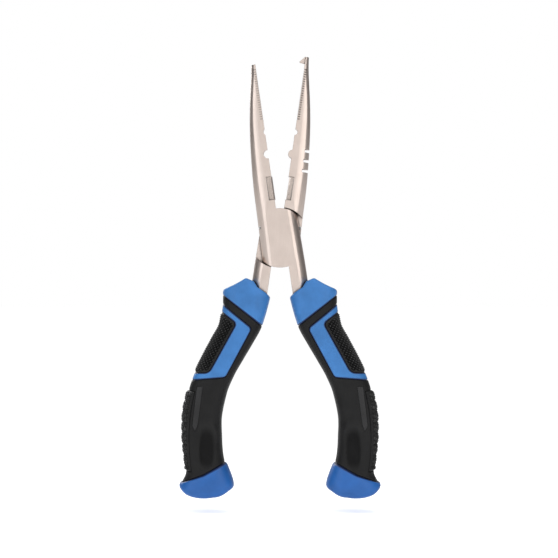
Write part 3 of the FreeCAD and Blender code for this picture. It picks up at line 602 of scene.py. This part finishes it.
WARM = (0.56, 0.47, 0.42)
WARM_LIGHT = (0.74, 0.65, 0.60)
# Painted shade along the edges of the levers.
STEEL_EDGE_SHADE = (0.17, 0.14, 0.125)
# Painted shade, in crevices and at the foot of the serrations.
PAINTED_SHADE = (0.035, 0.028, 0.024)
CUTTER = (0.50, 0.42, 0.37)
# Painted shade along the edges of the cutters.
CUTTER_EDGE_SHADE = (0.13, 0.11, 0.10)
PIN = (0.52, 0.50, 0.48)
SPRING = (0.36, 0.35, 0.34)
# Painted shade in the grooves beside the blue pieces.
NAVY_GROOVE_SHADE = (0.004, 0.013, 0.060)
PALE_BLUE = (0.033, 0.155, 0.410)
DEEP_BLUE = (0.011, 0.090, 0.315)
SLEEVE_BLACK = (0.0055, 0.0055, 0.0058)
PALM_BLACK = (0.006, 0.006, 0.0063)
HEEL_BLACK = (0.005, 0.005, 0.0053)
STRIP_GREY = (0.015, 0.015, 0.016)
# Painted highlight on the raised points of the knurl and the tread.
RUBBER_HIGHLIGHT = (0.13, 0.13, 0.132)


def node(tree, kind, inputs=None, **settings):
    """A shader node with its settings, and its inputs as values or links."""
    made = tree.nodes.new(kind)
    for name, value in settings.items():
        setattr(made, name, value)
    for name, value in (inputs or {}).items():
        if isinstance(value, bpy.types.NodeSocket):
            tree.links.new(value, made.inputs[name])
        else:
            made.inputs[name].default_value = value
    return made


def new_material(name):
    """An empty node material, its tree, its main shader and its object coordinates in millimetres."""
    material = bpy.data.materials.new(name)
    material.use_nodes = True
    tree = material.node_tree
    place = node(tree, "ShaderNodeTexCoord").outputs["Object"]
    scaled = node(tree, "ShaderNodeVectorMath", {0: place, "Scale": 1000.0}, operation="SCALE")
    return material, tree, tree.nodes["Principled BSDF"], scaled.outputs[0]


def noise(tree, place, scale, detail=3.0, stretch=None, tilt=0.0):
    """Noise with this many features to a millimetre, drawn out by stretch after a turn about Y."""
    if stretch or tilt:
        mapping = {"Vector": place, "Rotation": (0, tilt, 0), "Scale": stretch or (1, 1, 1)}
        place = node(tree, "ShaderNodeMapping", mapping, vector_type="POINT").outputs["Vector"]
    inputs = {"Vector": place, "Scale": scale, "Detail": detail, "Roughness": 0.6}
    return node(tree, "ShaderNodeTexNoise", inputs).outputs["Fac"]


def spread(tree, value, low, high, start=0.3, end=0.7):
    """A value between start and end carried to a number between low and high."""
    inputs = {"Value": value, "From Min": start, "From Max": end, "To Min": low, "To Max": high}
    return node(tree, "ShaderNodeMapRange", inputs).outputs["Result"]


def math_node(tree, operation, first, second=0.0):
    """The result of one sum on values or links."""
    return node(tree, "ShaderNodeMath", {0: first, 1: second}, operation=operation).outputs[0]


def mix(tree, share, first, second):
    """Two colours mixed by a share."""
    made = node(tree, "ShaderNodeMix", data_type="RGBA")
    for socket, value in zip((made.inputs[0], made.inputs[6], made.inputs[7]), (share, first, second)):
        if isinstance(value, bpy.types.NodeSocket):
            tree.links.new(value, socket)
        else:
            socket.default_value = value
    return made.outputs[2]


def bump(tree, height, distance, strength=1.0, normal=None):
    """A bump of this height in metres."""
    inputs = {"Height": height, "Distance": distance, "Strength": strength}
    if normal:
        inputs["Normal"] = normal
    return node(tree, "ShaderNodeBump", inputs).outputs["Normal"]


def attribute(tree, name):
    """A value that a mesh carries at its points."""
    return node(tree, "ShaderNodeAttribute", attribute_name=name).outputs["Fac"]


def finish_shader(tree, shader, **inputs):
    """The main shader's inputs as values or links, by their names with _ for a space."""
    for name, value in inputs.items():
        socket = shader.inputs[name.replace("_", " ")]
        if isinstance(value, bpy.types.NodeSocket):
            tree.links.new(value, socket)
        else:
            socket.default_value = value


def edge_share(tree, radius, low, high):
    """How near a point is to an edge of the piece, from the turn of the rounded normal, and that normal."""
    rounded = node(tree, "ShaderNodeBevel", {"Radius": radius}, samples=EDGE_SAMPLES).outputs["Normal"]
    flat = node(tree, "ShaderNodeNewGeometry").outputs["Normal"]
    dot = node(tree, "ShaderNodeVectorMath", {0: rounded, 1: flat}, operation="DOT_PRODUCT").outputs["Value"]
    return spread(tree, dot, 1.0, 0.0, low, high), rounded


def painted_serration_shade(tree, place, tilt):
    """1 at the foot of each serration of a jaw, where shade is painted into the valley, and 0 elsewhere."""
    shut = node(tree, "ShaderNodeMapping", {"Vector": place, "Rotation": (0, tilt, 0)}, vector_type="POINT")
    parts = node(tree, "ShaderNodeSeparateXYZ", {"Vector": shut.outputs["Vector"]}).outputs
    height = math_node(tree, "SUBTRACT", parts["Z"], SERRATION_START)
    number = math_node(tree, "DIVIDE", height, SERRATION_PITCH)
    off_foot = math_node(tree, "ABSOLUTE", math_node(tree, "SUBTRACT", math_node(tree, "FRACT", number), 0.5))
    foot = spread(tree, off_foot, 1.0, 0.0, *SERRATION_FOOT)
    near_face = spread(tree, math_node(tree, "ABSOLUTE", parts["X"]), 1.0, 0.0, *SERRATION_REACH)
    above = math_node(tree, "GREATER_THAN", number, 0.0)
    below = math_node(tree, "LESS_THAN", number, SERRATION_COUNT)
    row = math_node(tree, "MULTIPLY", above, below)
    return math_node(tree, "MULTIPLY", row, math_node(tree, "MULTIPLY", foot, near_face))


def brushed_steel(name, color, light, roughness, tilt, edge_shade_color, serration_shade_strength=0.0):
    """Satin plated steel, brushed along the lever, with faint clouding, painted shade along the edges and
    in the crevices, and a share of painted shade at the foot of the serrations."""
    material, tree, shader, place = new_material(name)
    fine = noise(tree, place, *BRUSH, BRUSH_STRETCH, tilt)
    broad = noise(tree, place, *STEEL_CLOUD)
    grain = noise(tree, place, *STEEL_GRAIN)
    edge, rounded = edge_share(tree, STEEL_EDGE_RADIUS, *STEEL_EDGE_SPAN)
    tone = mix(tree, spread(tree, fine, 0.25, 0.6), (*color, 1), (*light, 1))
    clouded = mix(tree, spread(tree, broad, 0.0, 0.3), tone, (*[c * 0.85 for c in color], 1))
    # Painted shade darkens the steel along its edges.
    edge_shaded = mix(tree, edge, clouded, (*edge_shade_color, 1))
    # Painted shade in the crevices, from ambient occlusion.
    crevice_shade = node(tree, "ShaderNodeAmbientOcclusion", {"Distance": CREVICE_REACH}, samples=CREVICE_SAMPLES)
    shaded = mix(tree, spread(tree, crevice_shade.outputs["AO"], 0.0, 1.0, *CREVICE_SPAN), (*PAINTED_SHADE, 1), edge_shaded)
    # Painted shade at the foot of the serrations.
    serration_shade = math_node(tree, "MULTIPLY", painted_serration_shade(tree, place, tilt), serration_shade_strength)
    shaded = mix(tree, serration_shade, shaded, (*PAINTED_SHADE, 1))
    rough = spread(tree, fine, roughness - 0.03, roughness + 0.05)
    brushed = bump(tree, fine, BRUSH_HEIGHT, 0.5, rounded)
    finish_shader(
        tree, shader, Base_Color=shaded, Metallic=1.0, Roughness=rough, Anisotropic=0.35,
        Normal=bump(tree, grain, GRAIN_HEIGHT, 0.5, brushed),
    )
    return material


def turned_steel(name, color, roughness):
    """Turned steel, with rings round the pivot axis."""
    material, tree, shader, place = new_material(name)
    parts = node(tree, "ShaderNodeSeparateXYZ", {"Vector": place}).outputs
    flat = node(tree, "ShaderNodeCombineXYZ", {"X": parts["X"], "Y": parts["Z"], "Z": 0.0}).outputs["Vector"]
    radius = node(tree, "ShaderNodeVectorMath", {0: flat}, operation="LENGTH").outputs["Value"]
    line = node(tree, "ShaderNodeCombineXYZ", {"X": radius, "Y": 0.0, "Z": 0.0}).outputs["Vector"]
    rings = noise(tree, line, *TURNED_RINGS)
    spots = noise(tree, place, *TURNED_SPOTS)
    tone = mix(tree, spread(tree, spots, 0.0, 1.0), (*color, 1), (*[c * 0.75 for c in color], 1))
    edge, rounded = edge_share(tree, TURNED_EDGE_RADIUS, *TURNED_EDGE_SPAN)
    # Lighter towards the edges.
    lightened = mix(tree, edge, tone, (*[min(1.0, c * 1.3) for c in color], 1))
    rough = spread(tree, rings, roughness, roughness + 0.12)
    finish_shader(
        tree, shader, Base_Color=lightened, Metallic=1.0, Roughness=rough,
        Normal=bump(tree, rings, RING_HEIGHT, 0.6, rounded),
    )
    return material


def moulded_plastic(name, color, roughness, grain, gloss, groove_shade=None, lightened=None, polished=None):
    """Moulded plastic or rubber: a fine spark-eroded grain, slight flow marks and paler specks.
    groove_shade is the darker colour painted where it meets a neighbour, as painted shade in the groove;
    lightened is the heights, in millimetres, between which raised points turn pale, as a painted
    highlight; polished is the heights between which it turns from dull to handled."""
    material, tree, shader, place = new_material(name)
    fine = noise(tree, place, grain, 2.0)
    cloud = noise(tree, place, *PLASTIC_FLOW)
    speck = noise(tree, place, grain * 0.45, 3.0)
    dark = (*[c * 0.82 for c in color], 1)
    light = (*[min(1.0, c * 1.14 + 0.002) for c in color], 1)
    tone = mix(tree, spread(tree, cloud, 0.0, 1.0), dark, light)
    tone = mix(tree, spread(tree, speck, 0.0, 0.3, 0.45, 0.75), tone, light)
    if groove_shade:
        # Painted shade in the groove beside a neighbour.
        near = spread(tree, attribute(tree, "groove_gap"), 1.0, 0.0, *GROOVE_SHADE_SPAN)
        tone = mix(tree, near, tone, (*groove_shade, 1))
    if lightened:
        # Painted highlight: the raised points turn pale, in patches.
        patchy = spread(tree, noise(tree, place, *PLASTIC_PATCHES), 0.15, 1.0)
        raised = spread(tree, attribute(tree, "relief"), 0.0, 1.0, *lightened)
        tone = mix(tree, math_node(tree, "MULTIPLY", raised, patchy), tone, (*RUBBER_HIGHLIGHT, 1))
    if polished:
        gloss = spread(tree, attribute(tree, "relief"), DULL * gloss, HANDLED * gloss, *polished)
    finish_shader(
        tree, shader, Base_Color=tone, Roughness=spread(tree, fine, roughness - 0.06, roughness + 0.08),
        Specular_IOR_Level=gloss,
        Normal=bump(tree, fine, SPARK_HEIGHT, 0.55, bump(tree, cloud, FLOW_HEIGHT, 0.15)),
    )
    return material


# The last number is the strength of the painted shade in the serrations: half on the front jaw, full on the
# rear.
FRONT_STEEL = brushed_steel("satin_steel_front", WARM, WARM_LIGHT, 0.36, HALF_OPENING, STEEL_EDGE_SHADE, 0.5)
REAR_STEEL = brushed_steel("satin_steel_rear", WARM, WARM_LIGHT, 0.36, -HALF_OPENING, STEEL_EDGE_SHADE, 1.0)
FRONT_CUTTER = brushed_steel("cutter_steel_front", CUTTER, WARM_LIGHT, 0.28, HALF_OPENING, CUTTER_EDGE_SHADE)
REAR_CUTTER = brushed_steel("cutter_steel_rear", CUTTER, WARM_LIGHT, 0.28, -HALF_OPENING, CUTTER_EDGE_SHADE)
PIN_STEEL = turned_steel("pin_steel", PIN, 0.25)
SPRING_STEEL = turned_steel("spring_steel", SPRING, 0.32)
BLUE = moulded_plastic("blue_plastic", PALE_BLUE, 0.46, 5.0, 0.33, NAVY_GROOVE_SHADE)
CAP_BLUE = moulded_plastic("cap_blue_plastic", DEEP_BLUE, 0.42, 5.0, 0.33, NAVY_GROOVE_SHADE)
RUBBER = moulded_plastic("black_rubber", SLEEVE_BLACK, 0.55, 6.5, 0.17, polished=(-1.1, 0.7))
PALM_RUBBER = moulded_plastic("palm_rubber", PALM_BLACK, 0.52, 6.5, 0.22, lightened=(0.24, 0.58))
HEEL_RUBBER = moulded_plastic("heel_rubber", HEEL_BLACK, 0.52, 6.5, 0.2, lightened=(0.75, 1.30))
STRIP = moulded_plastic("dark_strip", STRIP_GREY, 0.40, 3.0, 0.25)

# ---- grips ------------------------------------------------------------------------------------

collar_top, collar_edge, cap_edge, cap_bottom, inlay_outside, inlay_inside, heel_edge = (
    unroll(path(corners))
    for corners in (COLLAR_TOP, COLLAR_EDGE, CAP_EDGE, CAP_BOTTOM, INLAY_OUTSIDE, INLAY_INSIDE, HEEL_EDGE)
)
strip_edge = path(STRIP_EDGE)
strip_edge = np.stack([grip_to_flat(strip_edge[:, 0], strip_edge[:, 1]), strip_edge[:, 1]], axis=1)


GROOVE_RADIUS = 0.6
SOFT_EDGE = 0.2
COLLAR_EDGE_RADIUS = 1.0
CAP_EDGE_RADIUS = 2.0
PLAIN_SPACING = 0.6
STRIP_SPACING = 0.4
KNURL_SPACING = KNURL_PITCH / 8


def make_grip_piece(label, cad_node, material, outline, radii, grooves, relief=no_relief,
                    spacing=PLAIN_SPACING, walled=False, holes=()):
    """One moulded piece of each grip, from the borders of its outline and its holes. Each border has the
    radius of its rounded edge, and grooves tells which borders meet a neighbour in a groove."""
    points, faces, spans = sheet(outline, holes, spacing)
    gaps = np.array([distance_to(points, border) for border in (*outline, *holes)])
    drop = np.max([rounding(gap, radius) for gap, radius in zip(gaps, radii)], axis=0)
    height = relief(points[:, 0], points[:, 1], gaps.min(0)) - drop
    if walled:
        places, polygons = solid(points, faces, height, spans)
    else:
        places, polygons = shell(points, faces, height)
    back_only = both_halves(points, faces)[1]
    marks = {"groove_gap": gaps[grooves].min(0), "relief": height}
    marks = {mark: np.concatenate([values, values[back_only]]) for mark, values in marks.items()}
    for side, word, body in ((1, "right", "front_lever"), (-1, "left", "rear_lever")):
        turned = [polygon[::-1] for polygon in polygons] if side < 0 else polygons
        name = "%s_%s_moulding" % (word, label)
        piece = add_mesh(name, open_out(places, side), turned, material, marks=marks)
        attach(piece, body)
        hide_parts("%s_%s" % (word, cad_node))


make_grip_piece(
    "collar", "collar", BLUE, [collar_top, collar_edge[::-1]],
    [COLLAR_EDGE_RADIUS, GROOVE_RADIUS], [1], walled=True,
)
make_grip_piece(
    "inlay", "grip_core", BLUE, [inlay_outside, inlay_inside[::-1]],
    [GROOVE_RADIUS, GROOVE_RADIUS], [0, 1],
)
make_grip_piece(
    "sleeve", "sleeve", RUBBER, [collar_edge, inlay_outside, heel_edge, cap_edge],
    [GROOVE_RADIUS, GROOVE_RADIUS, SOFT_EDGE, GROOVE_RADIUS, SOFT_EDGE], [0, 1, 3], sleeve_relief,
    holes=[strip_edge],
)
make_grip_piece(
    "palm_pad", "palm_pad", PALM_RUBBER, [inlay_inside], [GROOVE_RADIUS], [0], palm_relief,
    KNURL_SPACING,
)
make_grip_piece(
    "heel_pad", "heel_pad", HEEL_RUBBER, [heel_edge], [SOFT_EDGE], [0], heel_relief,
    KNURL_SPACING,
)
make_grip_piece(
    "accent_strip", "accent_strip", STRIP, [strip_edge], [SOFT_EDGE], [0],
    spacing=STRIP_SPACING,
)
make_grip_piece(
    "butt_cap", "butt_cap", CAP_BLUE, [cap_edge, cap_bottom[::-1]],
    [GROOVE_RADIUS, CAP_EDGE_RADIUS], [0], cap_relief, walled=True,
)

# ---- return spring ----------------------------------------------------------------------------

WIRE_RADIUS = 0.45
WIRE_SIDES = 12
COIL_RADIUS = 4.8
COIL_TURNS = 3
COIL_TRAVEL = 1.1
COIL_STEPS = 64
BEND_STEPS = 6
ANCHOR_SIDE, ANCHOR_HEIGHT = 8.45, 4.87
LEG_BEND = 1.2
BEND_RADIUS = 0.6


def anchor_place(side):
    """Where the spring's leg is anchored in the lever on a side, in the front view."""
    x = ANCHOR_SIDE * math.cos(HALF_OPENING) + ANCHOR_HEIGHT * math.sin(HALF_OPENING)
    z = ANCHOR_HEIGHT * math.cos(HALF_OPENING) - ANCHOR_SIDE * math.sin(HALF_OPENING)
    return x * side, z


def leg_end(anchor, tangent, side):
    """The bent end of a leg, from its tip in the lever to the straight part of the leg."""
    way = (tangent - anchor) / np.linalg.norm(tangent - anchor)
    out = np.array([0.0, float(side), 0.0])
    share = np.linspace(0, 1, BEND_STEPS + 1)[:, None]
    turn = anchor + out * BEND_RADIUS * (1 - share) ** 2 + way * BEND_RADIUS * share ** 2
    return np.concatenate([[anchor + out * LEG_BEND], turn])


def spring_wire():
    """Points along the wire's middle from the front lever to the rear one, and the depths between which
    it coils. The legs leave the coil at a tangent, and the whole wire steps back at one slope."""
    left, right = anchor_place(-1), anchor_place(1)
    reach = math.hypot(*left)
    leg = math.sqrt(reach ** 2 - COIL_RADIUS ** 2)
    lead = math.acos(COIL_RADIUS / reach)
    start = math.atan2(left[1], left[0]) + lead
    sweep = math.atan2(right[1], right[0]) - lead - start + 2 * math.pi * COIL_TURNS
    slope = 2 * COIL_TRAVEL / (2 * leg + COIL_RADIUS * sweep)
    turn = np.linspace(0, sweep, round(COIL_STEPS * sweep / (2 * math.pi)))
    front, rear = MID_DEPTH - COIL_TRAVEL, MID_DEPTH + COIL_TRAVEL
    depth = front + leg * slope + turn * COIL_RADIUS * slope
    coils = np.stack([COIL_RADIUS * np.cos(start + turn), depth, COIL_RADIUS * np.sin(start + turn)], axis=1)
    front_end = leg_end(np.array([left[0], front, left[1]]), coils[0], -1)
    rear_end = leg_end(np.array([right[0], rear, right[1]]), coils[-1], 1)
    return np.concatenate([front_end, coils, rear_end[::-1]]), depth[0], depth[-1]


def tube(points, radius, sides):
    """A round wire along points, closed at both ends."""
    way = np.gradient(points, axis=0)
    way /= np.linalg.norm(way, axis=1, keepdims=True)
    across = np.array([1.0, 0.0, 0.0])
    angle = np.linspace(0, 2 * math.pi, sides, endpoint=False)[:, None]
    rings = []
    for point, along in zip(points, way):
        across = across - along * (across @ along)
        across /= np.linalg.norm(across)
        rings.append(point + radius * (np.cos(angle) * across + np.sin(angle) * np.cross(along, across)))
    polygons = [tuple(range(sides))[::-1], tuple(range((len(points) - 1) * sides, len(points) * sides))]
    for ring in range(len(points) - 1):
        for side in range(sides):
            near, far = ring * sides + side, ring * sides + (side + 1) % sides
            polygons.append((near, far, far + sides, near + sides))
    return np.concatenate(rings), polygons


def make_spring():
    """The return spring, as one still wire; on the real pliers it winds up as the levers turn."""
    points, front, rear = spring_wire()
    places, polygons = tube(points, WIRE_RADIUS, WIRE_SIDES)
    spring = add_mesh("return_spring_wire", places * MM, polygons, SPRING_STEEL)
    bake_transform(spring)
    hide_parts("return_spring")


make_spring()

# ---- steel parts ------------------------------------------------------------------------------

METAL = {
    "front_lever": FRONT_STEEL,
    "rear_lever": REAR_STEEL,
    "front_cutter": FRONT_CUTTER,
    "rear_cutter": REAR_CUTTER,
    "pivot_pin": PIN_STEEL,
    "pivot_washer": PIN_STEEL,
}
for name, material in METAL.items():
    item = frame["nodes"][name]
    for slot in item.material_slots:
        slot.material = material

# ---- stage ------------------------------------------------------------------------------------

BODY_CENTRE = (cad_low + cad_high) / 2
FLOOR_REACH = 6.0
FLOOR_GAP = 0.0065
GLOW_SPAN = (130.0, 420.0)
GLOW_NEAR = 0.45
FLOOR_TONES = ((0.88, 0.88, 0.88, 1), (0.93, 0.93, 0.93, 1))
ROOM_LOW, ROOM_HIGH = (0.30, 0.30, 0.31, 1), (1.0, 1.0, 1.0, 1)
ROOM_SIDES = (0.17, 0.178, 0.185, 1)
ROOM_RISE = (-0.5, 0.8)
SIDES_SPAN = (0.6, 0.92)
ROOM_STRENGTH = 0.5
WIDTH_SEEN = 0.2525
LENS = 120
PICTURE_MIDDLE = (-0.00045, -0.0195)


def pale_floor():
    """A wide pale floor, low enough for the left grip when it is squeezed shut, which glows white away
    from the object."""
    corners = ((-1, -1), (1, -1), (1, 1), (-1, 1))
    places = [(x * FLOOR_REACH, y * FLOOR_REACH, cad_low.z - FLOOR_GAP) for x, y in corners]
    material, tree, shader, place = new_material("pale_floor")
    cloud = noise(tree, place, *FLOOR_CLOUD)
    distance = node(tree, "ShaderNodeVectorMath", {0: place}, operation="LENGTH").outputs["Value"]
    tone = mix(tree, cloud, *FLOOR_TONES)
    near = mix(tree, spread(tree, distance, 0.0, 1.0, *GLOW_SPAN), tone, (0, 0, 0, 1))
    finish_shader(
        tree, shader, Base_Color=near, Roughness=0.7, Specular_IOR_Level=0.1, Emission_Color=(1, 1, 1, 1),
        Emission_Strength=spread(tree, distance, GLOW_NEAR, 1.0, *GLOW_SPAN),
    )
    add_mesh("floor", places, [(0, 1, 2, 3)], material)


def studio_world():
    """A white room to the camera. To everything else it is soft grey, bright above and dark at the sides,
    so that the flanks of the steel stand out."""
    world = bpy.data.worlds.new("studio")
    bpy.context.scene.world = world
    world.use_nodes = True
    tree = world.node_tree
    tree.nodes.clear()
    way = node(tree, "ShaderNodeTexCoord").outputs["Generated"]
    parts = node(tree, "ShaderNodeSeparateXYZ", {"Vector": way}).outputs
    sideways = math_node(tree, "ABSOLUTE", parts["X"])
    room = mix(tree, spread(tree, parts["Z"], 0.0, 1.0, *ROOM_RISE), ROOM_LOW, ROOM_HIGH)
    sides = mix(tree, spread(tree, sideways, 0.0, 1.0, *SIDES_SPAN), room, ROOM_SIDES)
    soft = node(tree, "ShaderNodeBackground", {"Color": sides, "Strength": ROOM_STRENGTH}).outputs[0]
    white = node(tree, "ShaderNodeBackground", {"Color": (1, 1, 1, 1), "Strength": 1.0}).outputs[0]
    seen = node(tree, "ShaderNodeLightPath").outputs["Is Camera Ray"]
    chosen = node(tree, "ShaderNodeMixShader", {0: seen, 1: soft, 2: white}).outputs[0]
    node(tree, "ShaderNodeOutputWorld", {"Surface": chosen})


def area_light(name, place, size, power, color=(1, 1, 1)):
    """A soft rectangular light that faces the middle of the object."""
    data = bpy.data.lights.new(name, "AREA")
    data.shape = "RECTANGLE"
    data.size, data.size_y = size
    data.energy = power
    data.color = color
    light = bpy.data.objects.new(name, data)
    light.location = place
    light.rotation_euler = (BODY_CENTRE - Vector(place)).to_track_quat("-Z", "Y").to_euler()
    bpy.context.scene.collection.objects.link(light)


def front_camera():
    """A long lens straight in front, level with the middle of the picture."""
    data = bpy.data.cameras.new("camera")
    data.lens = LENS
    distance = WIDTH_SEEN / data.sensor_width * data.lens
    camera = bpy.data.objects.new("camera", data)
    camera.location = (PICTURE_MIDDLE[0], MID_DEPTH * MM - distance, PICTURE_MIDDLE[1])
    camera.rotation_euler = (math.pi / 2, 0, 0)
    bpy.context.scene.collection.objects.link(camera)
    bpy.context.scene.camera = camera


pale_floor()
studio_world()
area_light("key", (0.55, -1.0, 0.4), (0.9, 1.4), 7.0, (1.0, 0.985, 0.965))
area_light("fill", (-0.65, -1.0, 0.2), (0.8, 1.4), 6.0, (0.97, 0.985, 1.0))
area_light("top", (0.0, -0.1, 1.0), (0.8, 0.8), 5)
area_light("rim", (-0.5, 0.8, 0.5), (0.5, 0.7), 5)
front_camera()
bpy.context.scene.view_settings.view_transform = "Standard"
